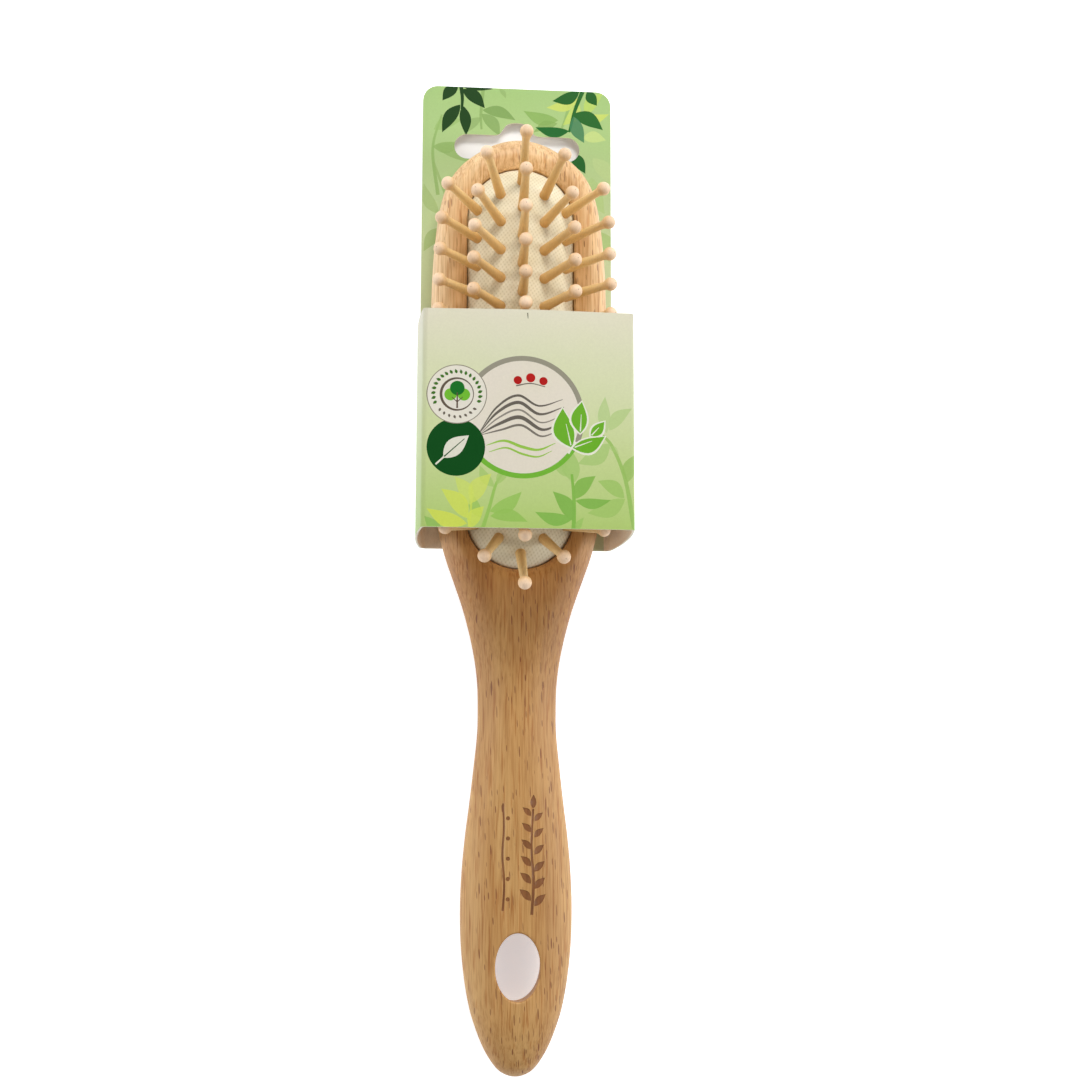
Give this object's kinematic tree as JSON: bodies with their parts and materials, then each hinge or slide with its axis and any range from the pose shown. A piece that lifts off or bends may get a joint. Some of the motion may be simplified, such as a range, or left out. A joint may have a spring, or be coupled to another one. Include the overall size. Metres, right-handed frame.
{
  "type": "hair brush",
  "caption": "Wooden cushion hair brush with ball-tipped pins in a domed rubber pad and an oval hang hole, held in a printed card sleeve with a hang slot.",
  "frame": {"origin": "middle of the whole object's box in X and Y, on the plane that the card and the back of the handle lie on", "axes": "+Z out through the pins, +Y along the brush from handle to head, +X across the brush"},
  "size_m": [0.0496, 0.241, 0.0366],
  "materials": {
    "beech": "satin",
    "pin_wood": "satin",
    "cream_rubber": "matte",
    "printed_card": "satin",
    "plain_card": "matte"
  },
  "bodies": {
    "brush": {"brush_body": "beech"},
    "cushion": {"rubber_cushion": "cream_rubber"},
    "left_outer_pins": {"pins_left_outer_head": "pin_wood", "pins_left_outer_middle": "pin_wood", "pins_left_outer_neck": "pin_wood"},
    "left_inner_pins": {"pins_left_inner_head": "pin_wood", "pins_left_inner_middle": "pin_wood", "pins_left_inner_neck": "pin_wood"},
    "centre_pins": {"pins_centre_head": "pin_wood", "pins_centre_middle": "pin_wood", "pins_centre_neck": "pin_wood"},
    "right_inner_pins": {"pins_right_inner_head": "pin_wood", "pins_right_inner_middle": "pin_wood", "pins_right_inner_neck": "pin_wood"},
    "right_outer_pins": {"pins_right_outer_head": "pin_wood", "pins_right_outer_middle": "pin_wood", "pins_right_outer_neck": "pin_wood"},
    "sleeve": {"hang_card": "printed_card", "sleeve_front_panel": "printed_card", "sleeve_left_wall": "printed_card", "sleeve_right_wall": "printed_card", "sleeve_glue_flap": "plain_card"}
  },
  "joints": [
    {"name": "cushion_press", "type": "slide", "parent": "brush", "child": "cushion", "axis": [0, 0, -1], "range_m": [0, 0.0013], "stiffness_N_per_m": 1500, "springref_m": -0.0006, "deforming": ["rubber_cushion"]},
    {"name": "left_outer_sway", "type": "hinge", "parent": "cushion", "child": "left_outer_pins", "pos_m": [-0.0102, 0.0453, 0.0142], "axis": [0, 1, 0], "range_deg": [-5, 8], "stiffness_Nm_per_rad": 0.02},
    {"name": "left_inner_sway", "type": "hinge", "parent": "cushion", "child": "left_inner_pins", "pos_m": [-0.005, 0.0453, 0.0171], "axis": [0, 1, 0], "range_deg": [-8, 8], "stiffness_Nm_per_rad": 0.02},
    {"name": "centre_sway", "type": "hinge", "parent": "cushion", "child": "centre_pins", "pos_m": [0, 0.0453, 0.0179], "axis": [0, 1, 0], "range_deg": [-8, 8], "stiffness_Nm_per_rad": 0.02},
    {"name": "right_inner_sway", "type": "hinge", "parent": "cushion", "child": "right_inner_pins", "pos_m": [0.005, 0.0453, 0.0171], "axis": [0, 1, 0], "range_deg": [-8, 8], "stiffness_Nm_per_rad": 0.02},
    {"name": "right_outer_sway", "type": "hinge", "parent": "cushion", "child": "right_outer_pins", "pos_m": [0.0102, 0.0453, 0.0142], "axis": [0, 1, 0], "range_deg": [-8, 5], "stiffness_Nm_per_rad": 0.02},
    {"name": "sleeve_slide", "type": "slide", "parent": "brush", "child": "sleeve", "axis": [0, 1, 0], "range_m": [-0.015, 0.105]}
  ]
}
